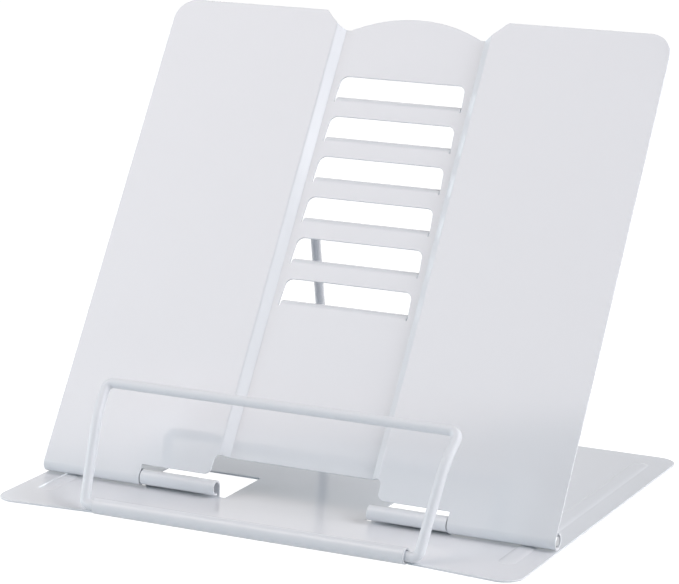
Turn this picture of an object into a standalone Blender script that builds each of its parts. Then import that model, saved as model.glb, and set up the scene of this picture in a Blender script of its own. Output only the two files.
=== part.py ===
"""Folding book stand of white coated sheet steel: base, slotted back panel, page holder and prop.

Metres, +Z up. The origin is on the desk, under the middle of the base. The reader sits at -Y.
"""
import math

import bmesh
import bpy
from mathutils import Euler, Vector

# Stock and running gaps
SHEET = 0.0008
WIRE_RADIUS = 0.0019
PIN_RADIUS = 0.0018
PIN_GAP = 0.0003
WIRE_GAP = 0.0003
HOOK_GAP = 0.0005
END_GAP = 0.0004
OVERRUN = 0.002

# Base plate
BASE_WIDTH = 0.210
BASE_DEPTH = 0.1728
BASE_CORNER_RADIUS = 0.008
FRONT_SWEEP = 0.0031
FRONT_ROLL_LENGTH = 0.125
REAR_ROLL_LENGTH = 0.085
RELIEF = 0.0006

# Hinge line of the base
HINGE_FROM_FRONT = 0.0394
HINGE_HEIGHT = 0.0046
KNUCKLE_INNER_X = 0.0314
KNUCKLE_OUTER_X = 0.0628
KNUCKLE_FOOT_BEND = 0.0008
KNUCKLE_FOOT_ANGLE = math.radians(90)
WINDOW_INNER_X = 0.0288
WINDOW_OUTER_X = 0.067
WINDOW_REAR = 0.0311
WINDOW_CORNER_RADIUS = 0.001

# Stiffening ribs pressed up from the base
RIB_INSET = 0.0115
RIB_WIDTH = 0.007
RIB_HEIGHT = 0.0006
RIB_FRONT_MARGIN = 0.0174
RIB_REAR_MARGIN = 0.0115

# Back panel, heights measured up its face from the hinge axis
PANEL_SIDE_INSET = 0.0001
PANEL_HEIGHT = 0.1977
PANEL_TILT = math.radians(57.4)
PANEL_CORNER_RADIUS = 0.0088
NOTCH_HEIGHT = 0.0041
EAR_HALF_WIDTH = 0.0343
EAR_CORNER_RADIUS = 0.0028
CENTRE_BOTTOM = 0.0123
CENTRE_BOTTOM_RADIUS = 0.0028

# Recessed channel down the middle of the panel
CHANNEL_DEPTH = 0.003
CHANNEL_FLOOR_WIDTH = 0.0584
CHANNEL_FACE_WIDTH = 0.067
CHANNEL_WALL_STEPS = 6

# Top edge of the panel over the channel
TOP_STEP_HALF_WIDTH = 0.0384
TOP_STEP_RADIUS = 0.0015
TOP_LOW_HALF_WIDTH = 0.0312
TOP_LOW_DEPTH = 0.0069
TOP_LOW_RADIUS = 0.0055
HUMP_HALF_WIDTH = 0.0275
HUMP_RISE = 0.0066

# Slots, with the tab of each one curled back into a hook
SLOT_COUNT = 6
SLOT_PITCH = 0.0171
SLOT_WIDTH = 0.0536
SLOT_CUT_HEIGHT = 0.0111
SLOT_CORNER_RADIUS = 0.003
SLOT_FOOT_RADIUS = 0.0009
SLOT_TAPER = 0.0008
FIRST_SLOT_TOP = 0.1711
TAB_SIDE_INSET = 0.0011
HOOK_LIP_LENGTH = 0.0025
HOOK_IN_USE = 4

# Page holder wire, in front of the pages
HOLDER_FOOT_HALF_WIDTH = 0.067
HOLDER_KINK_HALF_WIDTH = 0.0698
HOLDER_TOP_HALF_WIDTH = 0.0713
HOLDER_LEG_LENGTH = 0.0326
HOLDER_LEG_LEAN = math.radians(25.2)
HOLDER_TIP_LENGTH = 0.0147
HOLDER_TIP_LEAN = math.radians(43)
HOLDER_KINK_RADIUS = 0.035
HOLDER_CORNER_RADIUS = 0.003
HOLDER_END_LENGTH = 0.020

# Prop wire, behind the panel
PROP_FOOT_HALF_WIDTH = 0.048
PROP_TOP_HALF_WIDTH = 0.0221
PROP_CORNER_RADIUS = 0.005
PROP_END_LENGTH = 0.018
WIRE_FOOT_RADIUS = 0.0025

# Hinge pins
PIN_INNER_X = 0.0385
PIN_END_RECESS = 0.0006
PIN_CHAMFER = 0.0004
PIN_CHAMFER_SEGMENTS = 2

# How far a curl goes round, and how finely curves are drawn
CURL_ANGLE = math.radians(285)
HOOK_ANGLE = math.radians(110)
CURL_STEPS = 18
HOOK_STEPS = 6
FOOT_BEND_STEPS = 3
ARC_STEP = math.radians(15)
LEAST_ARC_STEPS = 4
HUMP_STEPS = 12
PIN_SIDES = 20
RIB_ARC_STEPS = 5
RIB_END_STEPS = 10
WIRE_BEVEL_RESOLUTION = 4
SMOOTH_ANGLE = math.radians(40)
CHAMFER_ANGLE = math.radians(60)

# Places that follow from the sizes above
HALF_SHEET = SHEET / 2
TOUCH = SHEET / 100
NEAR = SHEET / 20
PANEL_WIDTH = BASE_WIDTH - 2 * PANEL_SIDE_INSET
FRONT_Y = -BASE_DEPTH / 2
REAR_Y = BASE_DEPTH / 2
HINGE_Y = FRONT_Y + HINGE_FROM_FRONT
KNUCKLE_RADIUS = PIN_RADIUS + PIN_GAP + HALF_SHEET
ROLL_RADIUS = WIRE_RADIUS + WIRE_GAP + HALF_SHEET
ROLL_AXIS_Z = HALF_SHEET + ROLL_RADIUS
FRONT_ROLL_Y = FRONT_Y + ROLL_RADIUS + HALF_SHEET
REAR_ROLL_Y = REAR_Y - ROLL_RADIUS - HALF_SHEET
HOOK_RADIUS = WIRE_RADIUS + HOOK_GAP + HALF_SHEET
PANEL_ROLL_INNER_X = KNUCKLE_OUTER_X + END_GAP
TAB_HALF_WIDTH = SLOT_WIDTH / 2 - TAB_SIDE_INSET

COLLECTION_NAME = "book_stand"
CUTTER_COLLECTION_NAME = "cutters"

# Finishes, with their colours as linear RGB
COATING_COLOUR = (0.80, 0.81, 0.83, 1.0)
COATING_ROUGHNESS = 0.35
STEEL_COLOUR = (0.62, 0.62, 0.63, 1.0)
STEEL_ROUGHNESS = 0.3


def clear_scene():
    for item in list(bpy.data.objects):
        bpy.data.objects.remove(item, do_unlink=True)


def new_collection(name):
    group = bpy.data.collections.new(name)
    bpy.context.scene.collection.children.link(group)
    return group


def new_material(name, colour, roughness, metallic):
    material = bpy.data.materials.new(name)
    material.use_nodes = True
    shader = material.node_tree.nodes["Principled BSDF"]
    shader.inputs["Base Color"].default_value = colour
    shader.inputs["Roughness"].default_value = roughness
    shader.inputs["Metallic"].default_value = metallic
    material.diffuse_color = colour
    return material


def coating(name):
    return new_material(name, COATING_COLOUR, COATING_ROUGHNESS, 0)


def bare_steel(name):
    return new_material(name, STEEL_COLOUR, STEEL_ROUGHNESS, 1)


def rounded_path(corners, closed=False):
    """Points of a path whose corners, given as (point, radius), are drawn as arcs."""
    points = []
    count = len(corners)
    for index, (corner, radius) in enumerate(corners):
        corner = Vector(corner)
        at_end = not closed and index in (0, count - 1)
        if at_end or radius == 0:
            points.append(corner)
            continue
        to_last = (Vector(corners[index - 1][0]) - corner).normalized()
        to_next = (Vector(corners[(index + 1) % count][0]) - corner).normalized()
        half_angle = to_last.angle(to_next) / 2
        inward = (to_last + to_next).normalized()
        centre = corner + inward * (radius / math.sin(half_angle))
        start = corner + to_last * (radius / math.tan(half_angle)) - centre
        end = corner + to_next * (radius / math.tan(half_angle)) - centre
        turn = start.angle(end)
        steps = max(LEAST_ARC_STEPS, math.ceil(turn / ARC_STEP))
        for number in range(steps + 1):
            share = number / steps
            weight_start = math.sin((1 - share) * turn) / math.sin(turn)
            weight_end = math.sin(share * turn) / math.sin(turn)
            points.append(centre + start * weight_start + end * weight_end)
    return points


def sheet_outline(name, outlines):
    """A flat face at z = 0 inside the first outline, with the other outlines as holes."""
    curve = bpy.data.curves.new(name, "CURVE")
    curve.dimensions = "2D"
    curve.fill_mode = "FRONT"
    for points in outlines:
        spline = curve.splines.new("POLY")
        spline.points.add(len(points) - 1)
        for target, point in zip(spline.points, points):
            target.co = (point[0], point[1], 0, 1)
        spline.use_cyclic_u = True
    drawing = bpy.data.objects.new(name + "_drawing", curve)
    bpy.context.scene.collection.objects.link(drawing)
    graph = bpy.context.evaluated_depsgraph_get()
    mesh = bpy.data.meshes.new_from_object(drawing.evaluated_get(graph))
    mesh.name = name
    bpy.data.objects.remove(drawing, do_unlink=True)
    shape = bmesh.new()
    shape.from_mesh(mesh)
    bmesh.ops.remove_doubles(shape, verts=shape.verts, dist=TOUCH)
    return shape, mesh


def rim_edges(shape, low_x, high_x, y, z):
    """Edges on the rim of the sheet that run along X at the given place."""
    found = []
    for edge in shape.edges:
        ends = [vert.co for vert in edge.verts]
        level = all(abs(end.y - y) < NEAR and abs(end.z - z) < NEAR for end in ends)
        inside = all(low_x - NEAR < end.x < high_x + NEAR for end in ends)
        if edge.is_boundary and level and inside:
            found.append(edge)
    return found


def spin_edges(shape, edges, centre, axis, angle, steps):
    """Carry the sheet on from the given edges round an axis, and return the new rim."""
    verts = {vert for edge in edges for vert in edge.verts}
    geometry = list(edges) + list(verts)
    result = bmesh.ops.spin(shape, geom=geometry, cent=centre, axis=axis, angle=angle, steps=steps)
    return [item for item in result["geom_last"] if isinstance(item, bmesh.types.BMEdge)]


def curl(shape, edges, centre_y, centre_z, angle, steps):
    """Roll the sheet on from the given edges about a line along X, and return the new rim."""
    return spin_edges(shape, edges, (0, centre_y, centre_z), (1, 0, 0), angle, steps)


def move_on(shape, edges, step):
    """Carry the sheet on in a straight line from the given edges, and return the new rim."""
    result = bmesh.ops.extrude_edge_only(shape, edges=edges)
    verts = [item for item in result["geom"] if isinstance(item, bmesh.types.BMVert)]
    bmesh.ops.translate(shape, verts=verts, vec=step)
    return [item for item in result["geom"] if isinstance(item, bmesh.types.BMEdge)]


def sheet_object(name, shape, mesh, material, group):
    """Finish a sheet: even thickness either side of its middle surface, and smooth curls."""
    bmesh.ops.recalc_face_normals(shape, faces=shape.faces)
    shape.to_mesh(mesh)
    shape.free()
    mesh.materials.append(material)
    sheet = bpy.data.objects.new(name, mesh)
    group.objects.link(sheet)
    wall = sheet.modifiers.new("sheet_thickness", "SOLIDIFY")
    wall.thickness = SHEET
    wall.offset = 0
    wall.use_even_offset = True
    mesh.shade_smooth()
    mesh.set_sharp_from_angle(angle=SMOOTH_ANGLE)
    return sheet


def mirrored(points):
    """The points followed by their mirror image across X = 0, in reverse."""
    return list(points) + [((-point[0], point[1]), radius) for point, radius in reversed(points)]


def front_corner_y():
    """Where the swept front edge would meet the side, so that its rounded corner reaches FRONT_Y."""
    start_x = FRONT_ROLL_LENGTH / 2 + RELIEF
    across = BASE_WIDTH / 2 - BASE_CORNER_RADIUS - start_x
    forward = FRONT_SWEEP - BASE_CORNER_RADIUS
    slope = math.asin(BASE_CORNER_RADIUS / math.hypot(across, forward)) + math.atan2(forward, across)
    return FRONT_Y + FRONT_SWEEP - math.tan(slope) * (BASE_WIDTH / 2 - start_x)


def base_outline():
    """Outline of the base from the middle of its front to the middle of its rear, then back."""
    front_half = FRONT_ROLL_LENGTH / 2
    rear_half = REAR_ROLL_LENGTH / 2
    right_side = [
        ((front_half, FRONT_ROLL_Y), 0),
        ((front_half, FRONT_ROLL_Y + RELIEF), 0),
        ((front_half + RELIEF, FRONT_ROLL_Y + RELIEF), 0),
        ((front_half + RELIEF, FRONT_Y + FRONT_SWEEP), 0),
        ((BASE_WIDTH / 2, front_corner_y()), BASE_CORNER_RADIUS),
        ((BASE_WIDTH / 2, REAR_Y), BASE_CORNER_RADIUS),
        ((rear_half + RELIEF, REAR_Y), 0),
        ((rear_half + RELIEF, REAR_ROLL_Y - RELIEF), 0),
        ((rear_half, REAR_ROLL_Y - RELIEF), 0),
        ((rear_half, REAR_ROLL_Y), 0),
    ]
    return rounded_path(mirrored(right_side), closed=True)


def window_front_y():
    """Where the tab of a knuckle leaves the plate."""
    return HINGE_Y + KNUCKLE_RADIUS - KNUCKLE_FOOT_BEND


def window_outline(side):
    """Opening that the tab of one hinge knuckle was cut from."""
    front = window_front_y()
    rear = HINGE_Y + WINDOW_REAR
    corners = [
        ((side * WINDOW_OUTER_X, front), 0),
        ((side * KNUCKLE_OUTER_X, front), 0),
        ((side * KNUCKLE_INNER_X, front), 0),
        ((side * WINDOW_INNER_X, front), 0),
        ((side * WINDOW_INNER_X, rear), WINDOW_CORNER_RADIUS),
        ((side * WINDOW_OUTER_X, rear), WINDOW_CORNER_RADIUS),
    ]
    return rounded_path(corners, closed=True)


def add_base_knuckle(shape, side):
    """Bend a tab up from the front of its window and curl it forward round the pin."""
    low_x, high_x = sorted((side * KNUCKLE_INNER_X, side * KNUCKLE_OUTER_X))
    front = window_front_y()
    edges = rim_edges(shape, low_x, high_x, front, 0)
    edges = curl(shape, edges, front, KNUCKLE_FOOT_BEND, KNUCKLE_FOOT_ANGLE, FOOT_BEND_STEPS)
    edges = move_on(shape, edges, (0, 0, HINGE_HEIGHT - HALF_SHEET - KNUCKLE_FOOT_BEND))
    curl(shape, edges, HINGE_Y, HINGE_HEIGHT - HALF_SHEET, CURL_ANGLE, CURL_STEPS)


def rib_arc_radius():
    """Radius of the arc that a rib's cross section follows."""
    return ((RIB_WIDTH / 2) ** 2 + RIB_HEIGHT ** 2) / (2 * RIB_HEIGHT)


def rib_solid(name, side, radius, low_z, group):
    """A round-ended bar with an arched top of the given radius, cut off flat at low_z."""
    place_x = side * (BASE_WIDTH / 2 - RIB_INSET)
    front = FRONT_Y + RIB_FRONT_MARGIN + RIB_WIDTH / 2
    rear = REAR_Y - RIB_REAR_MARGIN - RIB_WIDTH / 2
    centre_z = SHEET + RIB_HEIGHT - rib_arc_radius()
    reach = math.acos((low_z - centre_z) / radius)
    shape = bmesh.new()
    profile = []
    for number in range(RIB_ARC_STEPS + 1):
        turn = reach * number / RIB_ARC_STEPS
        place = (place_x + radius * math.sin(turn), rear, centre_z + radius * math.cos(turn))
        profile.append(shape.verts.new(place))
    edges = [shape.edges.new(pair) for pair in zip(profile, profile[1:])]
    edges = spin_edges(shape, edges, (place_x, rear, 0), (0, 0, 1), math.pi, RIB_END_STEPS)
    edges = move_on(shape, edges, (0, front - rear, 0))
    edges = spin_edges(shape, edges, (place_x, front, 0), (0, 0, 1), math.pi, RIB_END_STEPS)
    move_on(shape, edges, (0, rear - front, 0))
    bmesh.ops.remove_doubles(shape, verts=shape.verts, dist=TOUCH)
    bmesh.ops.holes_fill(shape, edges=[edge for edge in shape.edges if edge.is_boundary])
    bmesh.ops.recalc_face_normals(shape, faces=shape.faces)
    mesh = bpy.data.meshes.new(name)
    shape.to_mesh(mesh)
    shape.free()
    solid = bpy.data.objects.new(name, mesh)
    solid.hide_render = True
    solid.display_type = "WIRE"
    group.objects.link(solid)
    return solid


def add_boolean(target, tool, operation):
    cut = target.modifiers.new(tool.name, "BOOLEAN")
    cut.operation = operation
    cut.solver = "EXACT"
    cut.object = tool


def press_ribs(base, cutters):
    """Raise the two ribs and hollow them from below, so the wall stays one sheet thick."""
    radius = rib_arc_radius()
    for side, word in ((-1, "left"), (1, "right")):
        add_boolean(base, rib_solid("rib_form_" + word, side, radius, HALF_SHEET, cutters), "UNION")
        hollow = rib_solid("rib_hollow_" + word, side, radius - SHEET, -OVERRUN, cutters)
        add_boolean(base, hollow, "DIFFERENCE")


def make_base(group, cutters):
    """The pressed base plate, with its knuckles, its two wire rolls and its ribs."""
    shape, mesh = sheet_outline("base_plate", [base_outline(), window_outline(-1), window_outline(1)])
    front = rim_edges(shape, -FRONT_ROLL_LENGTH / 2, FRONT_ROLL_LENGTH / 2, FRONT_ROLL_Y, 0)
    curl(shape, front, FRONT_ROLL_Y, ROLL_RADIUS, -CURL_ANGLE, CURL_STEPS)
    rear = rim_edges(shape, -REAR_ROLL_LENGTH / 2, REAR_ROLL_LENGTH / 2, REAR_ROLL_Y, 0)
    curl(shape, rear, REAR_ROLL_Y, ROLL_RADIUS, CURL_ANGLE, CURL_STEPS)
    for side in (-1, 1):
        add_base_knuckle(shape, side)
    bmesh.ops.translate(shape, verts=shape.verts, vec=(0, 0, HALF_SHEET))
    base = sheet_object("base_plate", shape, mesh, coating("base_coating"), group)
    press_ribs(base, cutters)
    return base


def hump_points():
    """The rounded rise in the middle of the panel's top edge, from right to left."""
    low = PANEL_HEIGHT - TOP_LOW_DEPTH
    radius = (HUMP_HALF_WIDTH ** 2 + HUMP_RISE ** 2) / (2 * HUMP_RISE)
    centre = low + HUMP_RISE - radius
    reach = math.asin(HUMP_HALF_WIDTH / radius)
    turns = [reach * (1 - 2 * number / HUMP_STEPS) for number in range(HUMP_STEPS + 1)]
    return [((radius * math.sin(turn), centre + radius * math.cos(turn)), 0) for turn in turns]


def panel_outline():
    """Outline of the flat panel, right half going up, then the hump, then the left half."""
    half = PANEL_WIDTH / 2
    low = PANEL_HEIGHT - TOP_LOW_DEPTH
    right_side = [
        ((0, CENTRE_BOTTOM), 0),
        ((EAR_HALF_WIDTH, CENTRE_BOTTOM), CENTRE_BOTTOM_RADIUS),
        ((EAR_HALF_WIDTH, NOTCH_HEIGHT), EAR_CORNER_RADIUS),
        ((PANEL_ROLL_INNER_X, NOTCH_HEIGHT), 0),
        ((PANEL_ROLL_INNER_X, 0), 0),
        ((half, 0), 0),
        ((half, PANEL_HEIGHT), PANEL_CORNER_RADIUS),
        ((TOP_STEP_HALF_WIDTH, PANEL_HEIGHT), TOP_STEP_RADIUS),
        ((TOP_LOW_HALF_WIDTH, low), TOP_LOW_RADIUS),
    ]
    left_side = [((-point[0], point[1]), radius) for point, radius in reversed(right_side[1:])]
    return rounded_path(right_side + hump_points() + left_side, closed=True)


def slot_bottom(number):
    """Height at which the tab of a slot, counted from the top, starts to curl."""
    return FIRST_SLOT_TOP - (number - 1) * SLOT_PITCH - SLOT_CUT_HEIGHT


def slot_outline(number):
    """A slot with rounded corners, a little wider than the tab curled down from its foot."""
    half = SLOT_WIDTH / 2
    bottom = slot_bottom(number)
    top = bottom + SLOT_CUT_HEIGHT
    corners = [
        ((half, bottom), SLOT_FOOT_RADIUS),
        ((half - SLOT_TAPER, top), SLOT_CORNER_RADIUS),
        ((SLOT_TAPER - half, top), SLOT_CORNER_RADIUS),
        ((-half, bottom), SLOT_FOOT_RADIUS),
        ((-TAB_HALF_WIDTH, bottom), 0),
        ((TAB_HALF_WIDTH, bottom), 0),
    ]
    return rounded_path(corners, closed=True)


def press_channel(shape):
    """Set the middle of the sheet back, with smooth walls at each side of the channel."""
    floor_half = CHANNEL_FLOOR_WIDTH / 2
    face_half = CHANNEL_FACE_WIDTH / 2
    for side in (-1, 1):
        for number in range(CHANNEL_WALL_STEPS + 1):
            share = number / CHANNEL_WALL_STEPS
            place = side * (floor_half + (face_half - floor_half) * share)
            everything = shape.verts[:] + shape.edges[:] + shape.faces[:]
            bmesh.ops.bisect_plane(
                shape, geom=everything, dist=TOUCH, plane_co=(place, 0, 0), plane_no=(1, 0, 0)
            )
    for vert in shape.verts:
        share = (abs(vert.co.x) - floor_half) / (face_half - floor_half)
        share = min(1, max(0, share))
        vert.co.z = KNUCKLE_RADIUS - CHANNEL_DEPTH * (1 + math.cos(math.pi * share)) / 2


def make_panel(group):
    """The back panel, turned about its own hinge axis to the tilt it stands at."""
    outlines = [panel_outline()] + [slot_outline(number) for number in range(1, SLOT_COUNT + 1)]
    shape, mesh = sheet_outline("back_panel", outlines)
    press_channel(shape)
    for side in (-1, 1):
        low_x, high_x = sorted((side * PANEL_ROLL_INNER_X, side * PANEL_WIDTH / 2))
        edges = rim_edges(shape, low_x, high_x, 0, KNUCKLE_RADIUS)
        curl(shape, edges, 0, 0, CURL_ANGLE, CURL_STEPS)
    floor_z = KNUCKLE_RADIUS - CHANNEL_DEPTH
    lip = (0, HOOK_LIP_LENGTH * math.cos(HOOK_ANGLE), -HOOK_LIP_LENGTH * math.sin(HOOK_ANGLE))
    for number in range(1, SLOT_COUNT + 1):
        bottom = slot_bottom(number)
        edges = rim_edges(shape, -TAB_HALF_WIDTH, TAB_HALF_WIDTH, bottom, floor_z)
        edges = curl(shape, edges, bottom, floor_z - HOOK_RADIUS, -HOOK_ANGLE, HOOK_STEPS)
        move_on(shape, edges, lip)
    panel = sheet_object("back_panel", shape, mesh, coating("panel_coating"), group)
    panel.location = (0, HINGE_Y, HINGE_HEIGHT)
    panel.rotation_euler = (PANEL_TILT, 0, 0)
    return panel


def make_pin(name, side, panel, group):
    """A hinge pin held in the panel's roll, reaching part way into the base's knuckle."""
    outer_x = PANEL_WIDTH / 2 - PIN_END_RECESS
    length = outer_x - PIN_INNER_X
    bpy.ops.mesh.primitive_cylinder_add(vertices=PIN_SIDES, radius=PIN_RADIUS, depth=length)
    pin = bpy.context.active_object
    pin.name = name
    pin.data.name = name
    pin.data.transform(Euler((0, math.pi / 2, 0)).to_matrix().to_4x4())
    pin.data.materials.append(bare_steel(name + "_steel"))
    pin.parent = panel
    pin.location = (side * (outer_x + PIN_INNER_X) / 2, 0, 0)
    for holder in list(pin.users_collection):
        holder.objects.unlink(pin)
    group.objects.link(pin)
    edge = pin.modifiers.new("end_chamfer", "BEVEL")
    edge.width = PIN_CHAMFER
    edge.segments = PIN_CHAMFER_SEGMENTS
    edge.limit_method = "ANGLE"
    edge.angle_limit = CHAMFER_ANGLE
    pin.data.shade_smooth()
    pin.data.set_sharp_from_angle(angle=SMOOTH_ANGLE)
    return pin


def make_wire(name, points, group):
    """A bent wire with filled ends, drawn through the points."""
    curve = bpy.data.curves.new(name, "CURVE")
    curve.dimensions = "3D"
    curve.bevel_depth = WIRE_RADIUS
    curve.bevel_resolution = WIRE_BEVEL_RESOLUTION
    curve.use_fill_caps = True
    curve.twist_mode = "MINIMUM"
    spline = curve.splines.new("POLY")
    spline.points.add(len(points) - 1)
    for target, point in zip(spline.points, points):
        target.co = (point[0], point[1], point[2], 1)
    curve.materials.append(coating(name + "_coating"))
    wire = bpy.data.objects.new(name, curve)
    group.objects.link(wire)
    return wire


def mirrored_wire(right_side):
    """A whole frame from the corners of its right side, listed from its foot to its top."""
    left_side = [((-point[0], point[1], point[2]), radius) for point, radius in right_side]
    return left_side + list(reversed(right_side))


def make_page_holder(group):
    """The wire in front of the pages, turning in the roll at the front of the base."""
    kink_y = HOLDER_LEG_LENGTH * math.sin(HOLDER_LEG_LEAN)
    kink_z = HOLDER_LEG_LENGTH * math.cos(HOLDER_LEG_LEAN)
    top_y = kink_y + HOLDER_TIP_LENGTH * math.sin(HOLDER_TIP_LEAN)
    top_z = kink_z + HOLDER_TIP_LENGTH * math.cos(HOLDER_TIP_LEAN)
    right_side = [
        ((FRONT_ROLL_LENGTH / 2 - HOLDER_END_LENGTH, 0, 0), 0),
        ((HOLDER_FOOT_HALF_WIDTH, 0, 0), WIRE_FOOT_RADIUS),
        ((HOLDER_KINK_HALF_WIDTH, kink_y, kink_z), HOLDER_KINK_RADIUS),
        ((HOLDER_TOP_HALF_WIDTH, top_y, top_z), HOLDER_CORNER_RADIUS),
    ]
    points = rounded_path(mirrored_wire(right_side))
    holder = make_wire("page_holder", points, group)
    holder.location = (0, FRONT_ROLL_Y, ROLL_AXIS_Z)
    return holder


def hook_place():
    """Middle of the hook in use, seen from the side, as world Y and Z."""
    up = slot_bottom(HOOK_IN_USE)
    out = KNUCKLE_RADIUS - CHANNEL_DEPTH - HOOK_RADIUS
    y = HINGE_Y + up * math.cos(PANEL_TILT) - out * math.sin(PANEL_TILT)
    z = HINGE_HEIGHT + up * math.sin(PANEL_TILT) + out * math.cos(PANEL_TILT)
    return y, z


def make_prop(group):
    """The wire prop, from the roll at the rear of the base to the hook in use."""
    hook_y, hook_z = hook_place()
    length = math.hypot(hook_y - REAR_ROLL_Y, hook_z - ROLL_AXIS_Z)
    right_side = [
        ((REAR_ROLL_LENGTH / 2 - PROP_END_LENGTH, 0, 0), 0),
        ((PROP_FOOT_HALF_WIDTH, 0, 0), WIRE_FOOT_RADIUS),
        ((PROP_TOP_HALF_WIDTH, length, 0), PROP_CORNER_RADIUS),
    ]
    prop = make_wire("prop", rounded_path(mirrored_wire(right_side)), group)
    prop.location = (0, REAR_ROLL_Y, ROLL_AXIS_Z)
    prop.rotation_euler = (math.atan2(hook_z - ROLL_AXIS_Z, hook_y - REAR_ROLL_Y), 0, 0)
    return prop


def main():
    clear_scene()
    group = new_collection(COLLECTION_NAME)
    cutters = new_collection(CUTTER_COLLECTION_NAME)
    make_base(group, cutters)
    panel = make_panel(group)
    make_pin("hinge_pin_left", -1, panel, group)
    make_pin("hinge_pin_right", 1, panel, group)
    make_page_holder(group)
    make_prop(group)


main()
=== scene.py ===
"""Look of the folding book stand: white powder-coated sheet steel and wire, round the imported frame.

Metres, +Z up. The origin is on the desk, under the middle of the base. The reader sits at -Y.
"""

import math

import bmesh
import bpy
from mathutils import Matrix, Quaternion, Vector


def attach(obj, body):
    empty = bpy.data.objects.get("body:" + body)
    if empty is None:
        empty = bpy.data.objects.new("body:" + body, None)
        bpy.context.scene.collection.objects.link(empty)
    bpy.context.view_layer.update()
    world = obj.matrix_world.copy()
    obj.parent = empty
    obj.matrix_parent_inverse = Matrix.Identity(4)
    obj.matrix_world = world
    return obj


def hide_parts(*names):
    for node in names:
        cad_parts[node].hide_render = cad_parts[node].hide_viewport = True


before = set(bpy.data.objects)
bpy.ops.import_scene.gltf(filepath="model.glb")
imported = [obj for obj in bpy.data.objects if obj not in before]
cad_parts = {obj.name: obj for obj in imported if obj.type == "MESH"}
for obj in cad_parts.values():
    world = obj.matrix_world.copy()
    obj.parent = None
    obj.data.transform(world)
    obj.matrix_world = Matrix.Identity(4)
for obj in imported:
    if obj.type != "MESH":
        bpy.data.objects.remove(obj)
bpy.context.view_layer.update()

# Stock and running gaps; the slack is how much fuller the panel's rolls are than the base's knuckles
SHEET = 0.0008
HALF_SHEET = SHEET / 2
WIRE_RADIUS = 0.0019
PIN_RADIUS = 0.0018
PIN_GAP = 0.0003
ROLL_SLACK = 0.00025
WIRE_GAP = 0.0003
HOOK_GAP = 0.0005
END_GAP = 0.0004
TOUCH = 0.00002

# Base plate
BASE_WIDTH = 0.210
BASE_DEPTH = 0.1728
BASE_CORNER_RADIUS = 0.008
FRONT_SWEEP = 0.0031
FRONT_ROLL_LENGTH = 0.125
REAR_ROLL_LENGTH = 0.085
RELIEF = 0.0006
HINGE_FROM_FRONT = 0.0394
HINGE_HEIGHT = 0.0046
KNUCKLE_INNER_X = 0.0314
KNUCKLE_OUTER_X = 0.0628
KNUCKLE_FOOT_BEND = 0.0008
WINDOW_INNER_X = 0.0288
WINDOW_OUTER_X = 0.067
WINDOW_REAR = 0.0311
WINDOW_CORNER_RADIUS = 0.001

# Stiffening ribs pressed up from the base
RIB_INSET = 0.0115
RIB_WIDTH = 0.007
RIB_HEIGHT = 0.0004
RIB_FRONT_MARGIN = 0.0174
RIB_REAR_MARGIN = 0.0115
RIB_RINGS = 9
RIB_FULLNESS = 4
RIB_END_RADIUS = RIB_WIDTH / 2 - TOUCH / 4

# Back panel, heights measured up its face from the hinge axis
PANEL_WIDTH = 0.2098
PANEL_HEIGHT = 0.1977
PANEL_TILT = math.radians(57.4)
PANEL_CORNER_RADIUS = 0.0088
NOTCH_HEIGHT = 0.0041
EAR_HALF_WIDTH = 0.0343
EAR_CORNER_RADIUS = 0.0028
CENTRE_BOTTOM = 0.0123
CENTRE_BOTTOM_RADIUS = 0.0028
CHANNEL_DEPTH = 0.003
CHANNEL_FLOOR_WIDTH = 0.0585
CHANNEL_FACE_WIDTH = 0.0664
CHANNEL_BEND_RADIUS = 0.0008
CHANNEL_BEND_STEPS = 4
CHANNEL_SLOPE_STEPS = 12
TOP_STEP_HALF_WIDTH = 0.0384
TOP_STEP_RADIUS = 0.0015
TOP_LOW_HALF_WIDTH = 0.0312
TOP_LOW_DEPTH = 0.0069
TOP_LOW_RADIUS = 0.0055
HUMP_HALF_WIDTH = 0.0275
HUMP_RISE = 0.0066
HUMP_STEPS = 28

# Slots, with the tab of each one curled back into a hook
SLOT_COUNT = 6
SLOT_PITCH = 0.0171
SLOT_WIDTH = 0.0536
SLOT_CUT_HEIGHT = 0.0111
SLOT_CORNER_RADIUS = 0.003
SLOT_TAPER = 0.0008
FIRST_SLOT_TOP = 0.1711
TAB_SIDE_INSET = 0.0005
HOOK_LIP_LENGTH = 0.0025
HOOK_IN_USE = 4

# Page holder wire
HOLDER_FOOT_HALF_WIDTH = 0.067
HOLDER_KINK_HALF_WIDTH = 0.0698
HOLDER_TOP_HALF_WIDTH = 0.0713
HOLDER_LEG_LENGTH = 0.0326
HOLDER_LEG_LEAN = math.radians(25.2)
HOLDER_TIP_LENGTH = 0.0147
HOLDER_TIP_LEAN = math.radians(43)
HOLDER_KINK_RADIUS = 0.035
HOLDER_CORNER_RADIUS = 0.003
HOLDER_END_LENGTH = 0.020

# Prop wire
PROP_FOOT_HALF_WIDTH = 0.048
PROP_TOP_HALF_WIDTH = 0.0221
PROP_CORNER_RADIUS = 0.005
PROP_END_LENGTH = 0.018
WIRE_FOOT_RADIUS = 0.0025

# Hinge pins
PIN_INNER_X = 0.0385
PIN_END_RECESS = 0.0001
PIN_CHAMFER = 0.0003

# How far a curl goes round, and how finely curves are drawn
CURL_ANGLE = math.radians(285)
HOOK_ANGLE = math.radians(110)
FOOT_BEND_ANGLE = math.radians(90)
CURL_STEPS = 40
HOOK_STEPS = 14
FOOT_BEND_STEPS = 6
ARC_STEP = math.radians(6)
LEAST_ARC_STEPS = 2
WIRE_SIDES = 32
WIRE_END_ROUNDING = WIRE_RADIUS / 4
END_ROUNDING_SEGMENTS = 3
EDGE_ROUNDING = 0.0002
EDGE_ROUNDING_SEGMENTS = 3
SHARP_ANGLE = math.radians(40)
FLAT_ANGLE = math.radians(0.2)

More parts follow.
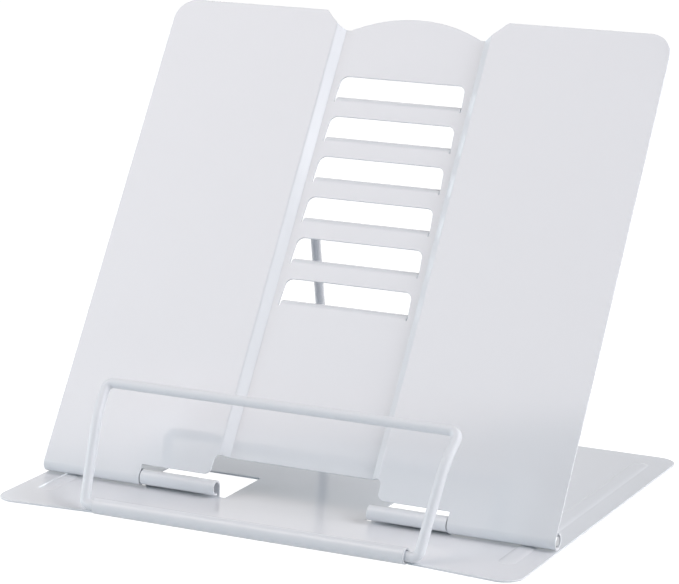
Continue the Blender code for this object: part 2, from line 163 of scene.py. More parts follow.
# Places that follow from the sizes above
FRONT_Y = -BASE_DEPTH / 2
REAR_Y = BASE_DEPTH / 2
HINGE_Y = FRONT_Y + HINGE_FROM_FRONT
KNUCKLE_RADIUS = PIN_RADIUS + PIN_GAP + HALF_SHEET
ROLL_RADIUS = WIRE_RADIUS + WIRE_GAP + HALF_SHEET
ROLL_AXIS_Z = HALF_SHEET + ROLL_RADIUS
FRONT_ROLL_Y = FRONT_Y + ROLL_RADIUS + HALF_SHEET
REAR_ROLL_Y = REAR_Y - ROLL_RADIUS - HALF_SHEET
HOOK_RADIUS = WIRE_RADIUS + HOOK_GAP + HALF_SHEET
PANEL_ROLL_RADIUS = KNUCKLE_RADIUS + ROLL_SLACK
PANEL_ROLL_INNER_X = KNUCKLE_OUTER_X + END_GAP
TAB_HALF_WIDTH = SLOT_WIDTH / 2 - TAB_SIDE_INSET

# Camera
CAMERA_AZIMUTH = math.radians(25.232)
CAMERA_ELEVATION = math.radians(12.630)
CAMERA_ROLL = math.radians(1.022)
CAMERA_DISTANCE = 1.00718
CAMERA_TARGET = Vector((0.01785, -0.0470, 0.085145))
CAMERA_LENS = 148.47
CAMERA_SENSOR = 36

# White powder coat
COAT_TONE = (0.81, 0.822, 0.85, 1)
COAT_SHADE = (0.805, 0.817, 0.846, 1)
COAT_IOR = 1.5
COAT_DRIFT_SCALE = 14
COAT_GRAIN_SCALE = 60
COAT_RELIEF_SCALE = 420
COAT_RELIEF_HEIGHT = 0.00001
COAT_ROUGHNESS_SPREAD = 0.01

# Zinc plating, its lines drawn out round the rod
ZINC_DARK_TONE = (0.42, 0.43, 0.45, 1)
ZINC_LIGHT_TONE = (0.56, 0.57, 0.58, 1)
ZINC_LINE_SCALE = (4000, 200, 200)
ZINC_LEAST_ROUGHNESS = 0.28
ZINC_MOST_ROUGHNESS = 0.42

# The part of a noise pattern's range that its values mostly fill
NOISE_LOW = 0.3
NOISE_HIGH = 0.7

# Floor and backdrop
PLAIN_WHITE = (1, 1, 1, 1)
FLOOR_SIZE = 6
FLOOR_TONE = (0.75, 0.76, 0.78, 1)
FLOOR_SHADED_TONE = (0.25, 0.25, 0.25, 1)

# Light: of each lamp its name, place, size, power and colour
WORLD_LIGHT = 0.05
LAMP_AIM = (0, 0, 0.08)
LAMPS = (
    ("left_lamp", (-1.2, 0.1, 0.45), 1, 1.6, (0.75, 0.88, 1)),
    ("low_left_lamp", (-1.0, -0.7, 0.3), 0.8, 7.97, (0.9, 0.97, 1)),
    ("front_lamp", (0.2, -1.3, 0.35), 1, 1.49, (0.37, 0.78, 1)),
    ("right_lamp", (1.2, 0, 0.45), 1, 7, (1, 1, 1)),
    ("high_right_lamp", (1.0, 0.1, 1.1), 1, 10.14, (0.95, 0.95, 1)),
    ("rear_right_lamp", (0.6, 1.0, 0.12), 0.6, 1.3, (0.74, 0.9, 1)),
    ("rear_left_lamp", (-1.0, 0.8, 0.12), 0.6, 1.3, (0.74, 0.9, 1)),
)
KEY_LAMP = ("key_lamp", (-0.504, -0.482, 0.956), 0.6, 2.94, (1, 0.84, 0.79))
KEY_AIM = (0, 0.0044, 0.0904)
KEY_ROLL = math.radians(45)


# Picking and drawing

def new_piece(name):
    """Give the piece being worked on its name."""
    piece = bpy.context.active_object
    piece.name = name
    piece.data.name = name
    return piece


def pick(kind, test):
    """Select the vertices, edges or faces whose middle passes the test."""
    bpy.ops.mesh.select_all(action="DESELECT")
    bpy.ops.mesh.select_mode(type=kind)
    mesh = bpy.context.active_object.data
    shape = bmesh.from_edit_mesh(mesh)
    items = {"VERT": shape.verts, "EDGE": shape.edges, "FACE": shape.faces}[kind]
    for item in items:
        if test(item):
            item.select_set(True)
    shape.select_flush_mode()
    bmesh.update_edit_mesh(mesh)


def pick_rim(low_x, high_x, y, z):
    """Select the edges on the rim of the sheet that run along X at a place."""
    def on_rim(edge):
        ends = [vert.co for vert in edge.verts]
        level = all(abs(end.y - y) < TOUCH and abs(end.z - z) < TOUCH for end in ends)
        inside = all(low_x - TOUCH < end.x < high_x + TOUCH for end in ends)
        return edge.is_boundary and level and inside
    pick("EDGE", on_rim)


def arc_steps(turn):
    """How many straight steps a rounded turn is drawn in."""
    return max(LEAST_ARC_STEPS, math.ceil(turn / ARC_STEP))


def draw_line(corners):
    """Draw a closed line through the corners, given as (point, radius), and round them."""
    first = Vector(corners[0][0]).to_3d()
    bpy.ops.mesh.primitive_plane_add(size=TOUCH, location=first)
    if bpy.context.mode == "OBJECT":
        bpy.ops.object.transform_apply(location=True, rotation=True, scale=True)
        bpy.ops.object.mode_set(mode="EDIT")
    bpy.ops.mesh.select_mode(type="VERT")
    bpy.ops.mesh.merge(type="CENTER")
    places = [Vector(corner).to_3d() for corner, radius in corners]
    for start, end in zip(places, places[1:]):
        bpy.ops.mesh.extrude_vertices_move(TRANSFORM_OT_translate={"value": end - start})
    ends = (places[0], places[-1])
    pick("VERT", lambda vert: any((vert.co - end).length < TOUCH for end in ends))
    bpy.ops.mesh.edge_face_add()
    for number, (corner, radius) in enumerate(corners):
        if radius:
            last = places[number - 1] - places[number]
            following = places[(number + 1) % len(places)] - places[number]
            angle = last.angle(following)
            pick("VERT", lambda vert: (vert.co - places[number]).length < TOUCH)
            bpy.ops.mesh.bevel(
                offset_type="OFFSET",
                offset=radius / math.tan(angle / 2),
                segments=arc_steps(math.pi - angle),
                affect="VERTICES",
            )
    bpy.ops.mesh.select_all(action="SELECT")
    bpy.ops.mesh.remove_doubles(threshold=TOUCH)


def mirror_image(points):
    """The mirror image of the points across X = 0, in reverse."""
    return [((-point[0], point[1]), radius) for point, radius in reversed(points)]


def cut_across(place, direction):
    """Put a line of edges across the whole sheet."""
    bpy.ops.mesh.select_all(action="SELECT")
    bpy.ops.mesh.bisect(plane_co=place, plane_no=direction)


def curl(centre_y, centre_z, angle, steps):
    """Roll the sheet on from the picked edges about a line along X."""
    bpy.ops.mesh.spin(steps=steps, angle=-angle, center=(0, centre_y, centre_z), axis=(1, 0, 0))


def move_on(step):
    """Carry the sheet on in a straight line from the picked edges."""
    bpy.ops.mesh.extrude_region_move(TRANSFORM_OT_translate={"value": step})


def apply_modifiers(piece):
    """Turn what the modifiers show into the piece's own mesh."""
    for modifier in list(piece.modifiers):
        bpy.ops.object.modifier_apply(modifier=modifier.name)


def finish_sheet(piece):
    """Give a sheet its thickness, and edges rounded as thick paint rounds them."""
    bpy.ops.mesh.select_all(action="SELECT")
    bpy.ops.mesh.remove_doubles(threshold=TOUCH)
    bpy.ops.mesh.select_all(action="SELECT")
    bpy.ops.mesh.dissolve_limited(angle_limit=FLAT_ANGLE)
    bpy.ops.mesh.select_all(action="SELECT")
    bpy.ops.mesh.normals_make_consistent(inside=False)
    bpy.ops.object.mode_set(mode="OBJECT")
    wall = piece.modifiers.new("sheet_thickness", "SOLIDIFY")
    wall.thickness = SHEET
    wall.offset = 0
    wall.use_even_offset = True
    rounding = piece.modifiers.new("rounded_paint_edges", "BEVEL")
    rounding.width = EDGE_ROUNDING
    rounding.segments = EDGE_ROUNDING_SEGMENTS
    rounding.limit_method = "ANGLE"
    rounding.angle_limit = SHARP_ANGLE
    rounding.use_clamp_overlap = False
    apply_modifiers(piece)
    bpy.ops.object.shade_smooth()
    piece.modifiers.new("flat_faces_stay_flat", "WEIGHTED_NORMAL").keep_sharp = True
    apply_modifiers(piece)


# Base plate

def front_corner_y():
    """Where the swept front edge would meet the side, so that its rounded corner reaches FRONT_Y."""
    start_x = FRONT_ROLL_LENGTH / 2 + RELIEF
    across = BASE_WIDTH / 2 - BASE_CORNER_RADIUS - start_x
    forward = FRONT_SWEEP - BASE_CORNER_RADIUS
    slope = math.asin(BASE_CORNER_RADIUS / math.hypot(across, forward)) + math.atan2(forward, across)
    return FRONT_Y + FRONT_SWEEP - math.tan(slope) * (BASE_WIDTH / 2 - start_x)


def draw_base_outline():
    """Outline of the flat plate, with relief cuts beside the two stretches that are rolled."""
    front_half = FRONT_ROLL_LENGTH / 2
    rear_half = REAR_ROLL_LENGTH / 2
    right_side = [
        ((front_half, FRONT_ROLL_Y), 0),
        ((front_half, FRONT_ROLL_Y + RELIEF), 0),
        ((front_half + RELIEF, FRONT_ROLL_Y + RELIEF), 0),
        ((front_half + RELIEF, FRONT_Y + FRONT_SWEEP), 0),
        ((BASE_WIDTH / 2, front_corner_y()), BASE_CORNER_RADIUS),
        ((BASE_WIDTH / 2, REAR_Y), BASE_CORNER_RADIUS),
        ((rear_half + RELIEF, REAR_Y), 0),
        ((rear_half + RELIEF, REAR_ROLL_Y - RELIEF), 0),
        ((rear_half, REAR_ROLL_Y - RELIEF), 0),
        ((rear_half, REAR_ROLL_Y), 0),
    ]
    draw_line(right_side + mirror_image(right_side))


def knuckle_front_y():
    """Front edge of the windows, where the knuckles' tabs start to bend up."""
    return HINGE_Y + KNUCKLE_RADIUS - KNUCKLE_FOOT_BEND


def draw_window(side):
    """A window, its front edge divided where the knuckle's tab begins and ends."""
    front = knuckle_front_y()
    rear = HINGE_Y + WINDOW_REAR
    draw_line([
        ((side * WINDOW_OUTER_X, front), 0),
        ((side * KNUCKLE_OUTER_X, front), 0),
        ((side * KNUCKLE_INNER_X, front), 0),
        ((side * WINDOW_INNER_X, front), 0),
        ((side * WINDOW_INNER_X, rear), WINDOW_CORNER_RADIUS),
        ((side * WINDOW_OUTER_X, rear), WINDOW_CORNER_RADIUS),
    ])


def rib_box(side):
    """Lowest and highest x and y of a rib."""
    middle = side * (BASE_WIDTH / 2 - RIB_INSET)
    half = RIB_WIDTH / 2
    return middle - half, middle + half, FRONT_Y + RIB_FRONT_MARGIN, REAR_Y - RIB_REAR_MARGIN


def draw_rib(side):
    """Outline of a rib, with round ends."""
    low_x, high_x, front, rear = rib_box(side)
    corners = ((low_x, front), (high_x, front), (high_x, rear), (low_x, rear))
    draw_line([(corner, RIB_END_RADIUS) for corner in corners])


def raise_rib(side):
    """Fill the outline of a rib and raise it in rings, so that its top is an arch."""
    low_x, high_x, front, rear = rib_box(side)

    def on_outline(edge):
        middle = (edge.verts[0].co + edge.verts[1].co) / 2
        across = low_x - TOUCH < middle.x < high_x + TOUCH
        return edge.is_boundary and across and front - TOUCH < middle.y < rear + TOUCH

    pick("EDGE", on_outline)
    bpy.ops.mesh.edge_face_add()
    bpy.ops.mesh.select_mode(type="FACE")
    ring = RIB_WIDTH / 2 / (RIB_RINGS + 1)
    height = 0
    for number in range(1, RIB_RINGS + 1):
        share = 1 - number / (RIB_RINGS + 1)
        new_height = RIB_HEIGHT * (1 - share ** RIB_FULLNESS)
        bpy.ops.mesh.inset(thickness=ring, depth=0)
        bpy.ops.transform.translate(value=(0, 0, new_height - height))
        height = new_height


def curl_base_knuckle(side):
    """Bend a tab up from the front of its window and curl it forward round the pin."""
    low_x, high_x = sorted((side * KNUCKLE_INNER_X, side * KNUCKLE_OUTER_X))
    front = knuckle_front_y()
    pick_rim(low_x, high_x, front, 0)
    curl(front, KNUCKLE_FOOT_BEND, FOOT_BEND_ANGLE, FOOT_BEND_STEPS)
    move_on((0, 0, HINGE_HEIGHT - HALF_SHEET - KNUCKLE_FOOT_BEND))
    curl(HINGE_Y, HINGE_HEIGHT - HALF_SHEET, CURL_ANGLE, CURL_STEPS)


def make_base_plate():
    """The flat plate with its ribs, its front and rear rolls and its two knuckles."""
    draw_base_outline()
    for side in (-1, 1):
        draw_window(side)
        draw_rib(side)
    base = new_piece("base_plate_with_rolled_edges")
    bpy.ops.mesh.select_all(action="SELECT")
    bpy.ops.mesh.fill()
    for side in (-1, 1):
        raise_rib(side)
    pick_rim(-FRONT_ROLL_LENGTH / 2, FRONT_ROLL_LENGTH / 2, FRONT_ROLL_Y, 0)
    curl(FRONT_ROLL_Y, ROLL_RADIUS, -CURL_ANGLE, CURL_STEPS)
    pick_rim(-REAR_ROLL_LENGTH / 2, REAR_ROLL_LENGTH / 2, REAR_ROLL_Y, 0)
    curl(REAR_ROLL_Y, ROLL_RADIUS, CURL_ANGLE, CURL_STEPS)
    for side in (-1, 1):
        curl_base_knuckle(side)
    bpy.ops.mesh.select_all(action="SELECT")
    bpy.ops.transform.translate(value=(0, 0, HALF_SHEET))
    finish_sheet(base)
    return base


# Back panel

def hump_points():
    """The rounded rise in the middle of the panel's top edge, from right to left."""
    radius = (HUMP_HALF_WIDTH ** 2 + HUMP_RISE ** 2) / (2 * HUMP_RISE)
    centre = PANEL_HEIGHT - TOP_LOW_DEPTH + HUMP_RISE - radius
    reach = math.asin(HUMP_HALF_WIDTH / radius)
    turns = [reach * (1 - 2 * number / HUMP_STEPS) for number in range(HUMP_STEPS + 1)]
    return [((radius * math.sin(turn), centre + radius * math.cos(turn)), 0) for turn in turns]


def draw_panel_outline():
    """Right half going up, the humped top edge, then the left half going down."""
    half = PANEL_WIDTH / 2
    low = PANEL_HEIGHT - TOP_LOW_DEPTH
    right_side = [
        ((EAR_HALF_WIDTH, CENTRE_BOTTOM), CENTRE_BOTTOM_RADIUS),
        ((EAR_HALF_WIDTH, NOTCH_HEIGHT), EAR_CORNER_RADIUS),
        ((PANEL_ROLL_INNER_X, NOTCH_HEIGHT), 0),
        ((PANEL_ROLL_INNER_X, 0), 0),
        ((half, 0), 0),
        ((half, PANEL_HEIGHT), PANEL_CORNER_RADIUS),
        ((TOP_STEP_HALF_WIDTH, PANEL_HEIGHT), TOP_STEP_RADIUS),
        ((TOP_LOW_HALF_WIDTH, low), TOP_LOW_RADIUS),
    ]
    draw_line(right_side + hump_points() + mirror_image(right_side))


def slot_bottom(number):
    """Height at which the tab of a slot, counted from the top, starts to curl."""
    return FIRST_SLOT_TOP - (number - 1) * SLOT_PITCH - SLOT_CUT_HEIGHT


def draw_slot(number):
    """A slot, round above and square at its foot, a little wider than the tab that is curled back there."""
    half = SLOT_WIDTH / 2
    bottom = slot_bottom(number)
    top = bottom + SLOT_CUT_HEIGHT
    draw_line([
        ((half, bottom), 0),
        ((half - SLOT_TAPER, top), SLOT_CORNER_RADIUS),
        ((SLOT_TAPER - half, top), SLOT_CORNER_RADIUS),
        ((-half, bottom), 0),
        ((-TAB_HALF_WIDTH, bottom), 0),
        ((TAB_HALF_WIDTH, bottom), 0),
    ])


def channel_wall():
    """Section of a channel wall from its floor to the face: a bend, a straight slope and a bend."""
    across = (CHANNEL_FACE_WIDTH - CHANNEL_FLOOR_WIDTH) / 2
    rise = CHANNEL_DEPTH - 2 * CHANNEL_BEND_RADIUS
    slope = math.atan2(rise, across) + math.asin(2 * CHANNEL_BEND_RADIUS / math.hypot(across, rise))
    turns = [slope * number / CHANNEL_BEND_STEPS for number in range(CHANNEL_BEND_STEPS + 1)]
    bend = [
        (CHANNEL_BEND_RADIUS * math.sin(turn), CHANNEL_BEND_RADIUS * (1 - math.cos(turn)))
        for turn in turns
    ]
    upper_bend = [(across - run, CHANNEL_DEPTH - height) for run, height in reversed(bend)]
    start, end = Vector(bend[-1]), Vector(upper_bend[0])
    straight = [start.lerp(end, number / CHANNEL_SLOPE_STEPS) for number in range(1, CHANNEL_SLOPE_STEPS)]
    return bend + [(point.x, point.y) for point in straight] + upper_bend


def press_channel():
    """Set the middle of the sheet back line by line, each a little further than the one outside it."""
    section = [(CHANNEL_FLOOR_WIDTH / 2 + run, height) for run, height in channel_wall()]
    for place, height in section:
        cut_across((place, 0, 0), (1, 0, 0))
        cut_across((-place, 0, 0), (1, 0, 0))
    for (place, height), (outer_place, outer_height) in reversed(list(zip(section, section[1:]))):
        pick("VERT", lambda vert: abs(vert.co.x) < place + TOUCH)
        bpy.ops.transform.translate(value=(0, 0, height - outer_height))


def curl_hook(number):
    """Curl the tab of a slot backward, and carry it on as a short straight lip."""
    floor_z = KNUCKLE_RADIUS - CHANNEL_DEPTH
    bottom = slot_bottom(number)
    pick_rim(-TAB_HALF_WIDTH, TAB_HALF_WIDTH, bottom, floor_z)
    curl(bottom, floor_z - HOOK_RADIUS, -HOOK_ANGLE, HOOK_STEPS)
    lip = (0, HOOK_LIP_LENGTH * math.cos(HOOK_ANGLE), -HOOK_LIP_LENGTH * math.sin(HOOK_ANGLE))
    move_on(lip)


def stand_panel_up(panel):
    """Turn the finished panel about its hinge axis to the tilt it stands at."""
    panel.location = (0, HINGE_Y, HINGE_HEIGHT)
    panel.rotation_euler = (PANEL_TILT, 0, 0)
    bpy.ops.object.transform_apply(location=True, rotation=True, scale=True)


def make_back_panel():
    """The panel, worked on flat with its hinge axis along X at the origin, and then stood up.

    Its hinge rolls are a little fuller than the knuckles, and stay flush with its face.
    """
    draw_panel_outline()
    for number in range(1, SLOT_COUNT + 1):
        draw_slot(number)
    panel = new_piece("slotted_back_panel")
    bpy.ops.mesh.select_all(action="SELECT")
    bpy.ops.mesh.fill()
    bpy.ops.mesh.select_all(action="SELECT")
    bpy.ops.transform.translate(value=(0, 0, KNUCKLE_RADIUS))
    press_channel()
    for side in (-1, 1):
        low_x, high_x = sorted((side * PANEL_ROLL_INNER_X, side * PANEL_WIDTH / 2))
        pick_rim(low_x, high_x, 0, KNUCKLE_RADIUS)
        curl(0, KNUCKLE_RADIUS - PANEL_ROLL_RADIUS, CURL_ANGLE, CURL_STEPS)
    for number in range(1, SLOT_COUNT + 1):
        curl_hook(number)
    finish_sheet(panel)
    stand_panel_up(panel)
    return panel


# Wires and pins

def borders_end(edge):
    """Whether an edge lies on the rim of a wire's or a rod's flat end, the only face with many corners."""
    return any(len(face.verts) > 4 for face in edge.link_faces)


def bend_wire(name, corners):
    """Draw a wire through the corners, given as (point, bend radius), from a ring of its thickness."""
    places = [Vector(corner) for corner, radius in corners]
    bpy.ops.mesh.primitive_circle_add(
        vertices=WIRE_SIDES, radius=WIRE_RADIUS, location=places[0], rotation=(0, math.pi / 2, 0)
    )
    bpy.ops.object.transform_apply(location=True, rotation=True, scale=True)
    wire = new_piece(name)
    bpy.ops.object.mode_set(mode="EDIT")
    bpy.ops.mesh.select_mode(type="EDGE")
    bpy.ops.mesh.select_all(action="SELECT")
    here = places[0]
    for number in range(1, len(places) - 1):
        corner = places[number]
        inward = (corner - places[number - 1]).normalized()
        onward = (places[number + 1] - corner).normalized()
        turn = inward.angle(onward)
        radius = corners[number][1]
        start = corner - inward * radius * math.tan(turn / 2)
        centre = start + (onward - inward * inward.dot(onward)).normalized() * radius
        move_on(start - here)
        bpy.ops.mesh.spin(
            steps=arc_steps(turn),
            angle=-turn,
            center=centre,
            axis=inward.cross(onward).normalized(),
        )
        here = corner + onward * radius * math.tan(turn / 2)
    move_on(places[-1] - here)
    bpy.ops.mesh.edge_face_add()
    pick("EDGE", lambda edge: edge.is_boundary)
    bpy.ops.mesh.edge_face_add()
    bpy.ops.mesh.select_all(action="SELECT")
    bpy.ops.mesh.normals_make_consistent(inside=False)
    pick("EDGE", borders_end)
    bpy.ops.mesh.bevel(offset=WIRE_END_ROUNDING, segments=END_ROUNDING_SEGMENTS, affect="EDGES")
    bpy.ops.object.mode_set(mode="OBJECT")
    bpy.ops.object.shade_smooth_by_angle(angle=SHARP_ANGLE)
    return wire


def mirrored_wire(right_side):
    """A whole wire from the corners of its right side, listed from its foot to its top."""
    left_side = [((-point[0], point[1], point[2]), radius) for point, radius in right_side]
    return left_side + list(reversed(right_side))


def make_page_holder():
    """The wire in front of the pages, with its feet in the front roll."""
    kink_y = FRONT_ROLL_Y + HOLDER_LEG_LENGTH * math.sin(HOLDER_LEG_LEAN)
    kink_z = ROLL_AXIS_Z + HOLDER_LEG_LENGTH * math.cos(HOLDER_LEG_LEAN)
    top_y = kink_y + HOLDER_TIP_LENGTH * math.sin(HOLDER_TIP_LEAN)
    top_z = kink_z + HOLDER_TIP_LENGTH * math.cos(HOLDER_TIP_LEAN)
    return bend_wire("page_holder_wire", mirrored_wire([
        ((FRONT_ROLL_LENGTH / 2 - HOLDER_END_LENGTH, FRONT_ROLL_Y, ROLL_AXIS_Z), 0),
        ((HOLDER_FOOT_HALF_WIDTH, FRONT_ROLL_Y, ROLL_AXIS_Z), WIRE_FOOT_RADIUS),
        ((HOLDER_KINK_HALF_WIDTH, kink_y, kink_z), HOLDER_KINK_RADIUS),
        ((HOLDER_TOP_HALF_WIDTH, top_y, top_z), HOLDER_CORNER_RADIUS),
    ]))


def hook_place():
    """Middle of the hook in use, seen from the side, as Y and Z."""
    up = slot_bottom(HOOK_IN_USE)
    out = KNUCKLE_RADIUS - CHANNEL_DEPTH - HOOK_RADIUS
    y = HINGE_Y + up * math.cos(PANEL_TILT) - out * math.sin(PANEL_TILT)
    z = HINGE_HEIGHT + up * math.sin(PANEL_TILT) + out * math.cos(PANEL_TILT)
    return y, z


def make_prop():
    """The wire behind the panel, from the rear roll to the hook in use."""
    hook_y, hook_z = hook_place()
    return bend_wire("prop_wire", mirrored_wire([
        ((REAR_ROLL_LENGTH / 2 - PROP_END_LENGTH, REAR_ROLL_Y, ROLL_AXIS_Z), 0),
        ((PROP_FOOT_HALF_WIDTH, REAR_ROLL_Y, ROLL_AXIS_Z), WIRE_FOOT_RADIUS),
        ((PROP_TOP_HALF_WIDTH, hook_y, hook_z), PROP_CORNER_RADIUS),
    ]))


def make_pin(name, side):
    """A hinge pin held in the panel's roll, reaching part way into the base's knuckle."""
    outer_x = PANEL_WIDTH / 2 - PIN_END_RECESS
    bpy.ops.mesh.primitive_cylinder_add(
        vertices=WIRE_SIDES,
        radius=PIN_RADIUS,
        depth=outer_x - PIN_INNER_X,
        location=(side * (outer_x + PIN_INNER_X) / 2, HINGE_Y, HINGE_HEIGHT),
        rotation=(0, math.pi / 2, 0),
    )
    bpy.ops.object.transform_apply(location=True, rotation=True, scale=True)
    pin = new_piece(name)
    bpy.ops.object.mode_set(mode="EDIT")
    pick("EDGE", borders_end)
    bpy.ops.mesh.bevel(offset=PIN_CHAMFER, segments=END_ROUNDING_SEGMENTS, affect="EDGES")
    bpy.ops.object.mode_set(mode="OBJECT")
    bpy.ops.object.shade_smooth_by_angle(angle=SHARP_ANGLE)
    return pin


# Finishes

def new_finish(name):
    """An empty material with its shader, and the coordinates its patterns are laid out on."""
    material = bpy.data.materials.new(name)
    material.use_nodes = True
    nodes = material.node_tree.nodes
    shader = nodes["Principled BSDF"]
    coordinates = nodes.new("ShaderNodeTexCoord")
    return material, nodes, material.node_tree.links, shader, coordinates.outputs["Object"]


def add_noise(nodes, links, place, scale, detail):
    """A cloudy pattern, laid out on the given coordinates."""
    noise = nodes.new("ShaderNodeTexNoise")
    noise.inputs["Scale"].default_value = scale
    noise.inputs["Detail"].default_value = detail
    links.new(place, noise.inputs["Vector"])
    return noise.outputs["Fac"]


def add_range(nodes, links, source, low, high):
    """Bring a pattern into the range from low to high."""
    spread = nodes.new("ShaderNodeMapRange")
    spread.inputs["From Min"].default_value = NOISE_LOW
    spread.inputs["From Max"].default_value = NOISE_HIGH
    spread.inputs["To Min"].default_value = low
    spread.inputs["To Max"].default_value = high
    links.new(source, spread.inputs["Value"])
    return spread.outputs["Result"]


def add_tone(nodes, links, pattern, dark_tone, light_tone, shader):
    """Colour the shader between two tones as the pattern goes."""
    tone = nodes.new("ShaderNodeMix")
    tone.data_type = "RGBA"
    tone.inputs["A"].default_value = dark_tone
    tone.inputs["B"].default_value = light_tone
    links.new(add_range(nodes, links, pattern, 0, 1), tone.inputs["Factor"])
    links.new(tone.outputs["Result"], shader.inputs["Base Color"])


def powder_coat(name, roughness, peel):
    """White powder coat: a faint orange peel, a slow drift of tone, and a semi-gloss that varies a little."""
    material, nodes, links, shader, place = new_finish(name)
    drift = add_noise(nodes, links, place, COAT_DRIFT_SCALE, 2)
    add_tone(nodes, links, drift, COAT_SHADE, COAT_TONE, shader)
    grain = add_noise(nodes, links, place, COAT_GRAIN_SCALE, 2)
    least, most = roughness - COAT_ROUGHNESS_SPREAD, roughness + COAT_ROUGHNESS_SPREAD
    links.new(add_range(nodes, links, grain, least, most), shader.inputs["Roughness"])
    relief = add_noise(nodes, links, place, COAT_RELIEF_SCALE, 1)
    bump = nodes.new("ShaderNodeBump")
    bump.inputs["Strength"].default_value = peel
    bump.inputs["Distance"].default_value = COAT_RELIEF_HEIGHT
    links.new(relief, bump.inputs["Height"])
    links.new(bump.outputs["Normal"], shader.inputs["Normal"])
    shader.inputs["IOR"].default_value = COAT_IOR
    return material


def zinc_steel(name):
    """Zinc-plated steel rod with fine drawing lines round it."""
    material, nodes, links, shader, place = new_finish(name)
    stretch = nodes.new("ShaderNodeMapping")
    stretch.inputs["Scale"].default_value = ZINC_LINE_SCALE
    links.new(place, stretch.inputs["Vector"])
    lines = add_noise(nodes, links, stretch.outputs["Vector"], 1, 2)
    add_tone(nodes, links, lines, ZINC_DARK_TONE, ZINC_LIGHT_TONE, shader)
    gloss = add_range(nodes, links, lines, ZINC_LEAST_ROUGHNESS, ZINC_MOST_ROUGHNESS)
    links.new(gloss, shader.inputs["Roughness"])
    shader.inputs["Metallic"].default_value = 1
    return material


# Floor, light and camera

def sees_white(nodes, links):
    """One for rays of the camera, through glass and off gloss, which see plain white behind the object."""
    path = nodes.new("ShaderNodeLightPath")
    direct = nodes.new("ShaderNodeMath")
    direct.operation = "MAXIMUM"
    links.new(path.outputs["Is Camera Ray"], direct.inputs[0])
    links.new(path.outputs["Is Transmission Ray"], direct.inputs[1])
    either = nodes.new("ShaderNodeMath")
    either.operation = "MAXIMUM"
    links.new(direct.outputs["Value"], either.inputs[0])
    links.new(path.outputs["Is Glossy Ray"], either.inputs[1])
    return either.outputs["Value"]


def make_floor():
    """A white floor that keeps the object's shadow, and looks plain white where nothing shades it."""
    bpy.ops.mesh.primitive_plane_add(size=FLOOR_SIZE, location=(0, 0, 0))
    floor = bpy.context.active_object
    floor.name = "white_desk"
    material = bpy.data.materials.new("white_desk")
    material.use_nodes = True
    nodes = material.node_tree.nodes
    links = material.node_tree.links
    nodes.remove(nodes["Principled BSDF"])
    plain = nodes.new("ShaderNodeBsdfDiffuse")
    plain.inputs["Color"].default_value = FLOOR_TONE
    shaded = nodes.new("ShaderNodeBsdfDiffuse")
    shaded.inputs["Color"].default_value = FLOOR_SHADED_TONE
    glow = nodes.new("ShaderNodeEmission")
    glow.inputs["Color"].default_value = PLAIN_WHITE
    glow.inputs["Strength"].default_value = 1
    seen = nodes.new("ShaderNodeAddShader")
    links.new(shaded.outputs["BSDF"], seen.inputs[0])
    links.new(glow.outputs["Emission"], seen.inputs[1])
    seen_white = sees_white(nodes, links)
    choice = nodes.new("ShaderNodeMixShader")
    links.new(seen_white, choice.inputs["Fac"])
    links.new(plain.outputs["BSDF"], choice.inputs[1])
    links.new(seen.outputs["Shader"], choice.inputs[2])
    links.new(choice.outputs["Shader"], nodes["Material Output"].inputs["Surface"])
    floor.data.materials.append(material)
    return floor


def light_world():
    """Even studio light all round, with plain white behind the object."""
    world = bpy.data.worlds.new("white_studio")
    bpy.context.scene.world = world
    world.use_nodes = True
    nodes = world.node_tree.nodes
    links = world.node_tree.links
    light = nodes["Background"]
    light.inputs["Color"].default_value = PLAIN_WHITE
    light.inputs["Strength"].default_value = WORLD_LIGHT
    white = nodes.new("ShaderNodeBackground")
    white.inputs["Color"].default_value = PLAIN_WHITE
    white.inputs["Strength"].default_value = 1
    seen_white = sees_white(nodes, links)
    choice = nodes.new("ShaderNodeMixShader")
    links.new(seen_white, choice.inputs["Fac"])
    links.new(light.outputs["Background"], choice.inputs[1])
    links.new(white.outputs["Background"], choice.inputs[2])
    links.new(choice.outputs["Shader"], nodes["World Output"].inputs["Surface"])


def add_softbox(name, place, size, power, colour, aim=LAMP_AIM, roll=0):
    """A large soft lamp at a place, turned to face a point, and rolled about its own axis."""
    lamp = bpy.data.lights.new(name, "AREA")
    lamp.shape = "SQUARE"
    lamp.size = size
    lamp.energy = power
    lamp.color = colour
    holder = bpy.data.objects.new(name, lamp)
    bpy.context.scene.collection.objects.link(holder)
    holder.location = place
    facing = (Vector(aim) - Vector(place)).to_track_quat("-Z", "Y")
    holder.rotation_euler = (facing @ Quaternion((0, 0, 1), roll)).to_euler()
    return holder


def place_lamps():
    """The studio: soft lamps at both sides, in front and low behind.

    The key softbox stands where the panel mirrors it to the camera: the wire then shows in the sheen of
    the panel, and the lower right corner, which mirrors the wall beside the lamp, stays duller.
    """
    for lamp in LAMPS:
        add_softbox(*lamp)
    add_softbox(*KEY_LAMP, aim=KEY_AIM, roll=KEY_ROLL)


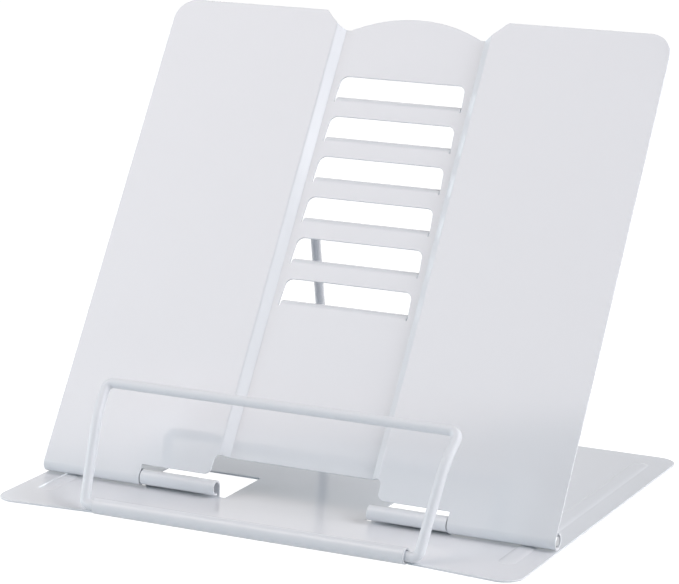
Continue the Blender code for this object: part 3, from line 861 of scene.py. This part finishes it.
def place_camera():
    """The camera at the photograph's own angle and distance."""
    back = Vector((
        math.sin(CAMERA_AZIMUTH) * math.cos(CAMERA_ELEVATION),
        -math.cos(CAMERA_AZIMUTH) * math.cos(CAMERA_ELEVATION),
        math.sin(CAMERA_ELEVATION),
    ))
    right = Vector((math.cos(CAMERA_AZIMUTH), math.sin(CAMERA_AZIMUTH), 0))
    up = back.cross(right)
    turned_right = right * math.cos(CAMERA_ROLL) + up * math.sin(CAMERA_ROLL)
    turned_up = up * math.cos(CAMERA_ROLL) - right * math.sin(CAMERA_ROLL)
    turn = Matrix((turned_right, turned_up, back)).transposed().to_4x4()
    lens = bpy.data.cameras.new("photo_camera")
    lens.lens = CAMERA_LENS
    lens.sensor_width = CAMERA_SENSOR
    lens.sensor_fit = "HORIZONTAL"
    camera = bpy.data.objects.new("photo_camera", lens)
    bpy.context.scene.collection.objects.link(camera)
    camera.matrix_world = Matrix.Translation(CAMERA_TARGET + back * CAMERA_DISTANCE) @ turn
    bpy.context.scene.camera = camera


def dress(piece, body, node, material):
    """Paint a finished piece, and put it in the place of the plain one it stands for."""
    piece.data.materials.clear()
    piece.data.materials.append(material)
    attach(piece, body)
    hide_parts(node)


def main():
    """Set the studio up, then make each piece and dress it in its finish."""
    place_camera()
    bpy.context.scene.view_settings.view_transform = "Standard"
    bpy.ops.object.select_all(action="DESELECT")
    make_floor()
    light_world()
    place_lamps()
    # Maker, body, node, material slot, and the finish with its roughness and the strength of its peel
    coated_pieces = (
        (make_base_plate, "base", "base_plate", "base_coating", "white_powder_coat_base", 0.15, 0.10),
        (make_back_panel, "panel", "back_panel", "panel_coating", "white_powder_coat_panel", 0.09, 0.10),
        (make_page_holder, "page_holder", "page_holder", "page_holder_coating",
         "white_powder_coat_holder", 0.35, 0.05),
        (make_prop, "prop", "prop", "prop_coating", "white_powder_coat_prop", 0.15, 0.05),
    )
    for make, body, node, slot, finish, roughness, peel in coated_pieces:
        bpy.ops.object.select_all(action="DESELECT")
        coat = powder_coat(finish, roughness, peel)
        dress(make(), body, node, coat)
    steel = zinc_steel("zinc_plated_pin_steel")
    for word, side in (("left", -1), ("right", 1)):
        bpy.ops.object.select_all(action="DESELECT")
        node = "hinge_pin_" + word
        dress(make_pin(word + "_hinge_rod", side), "panel", node, steel)


main()
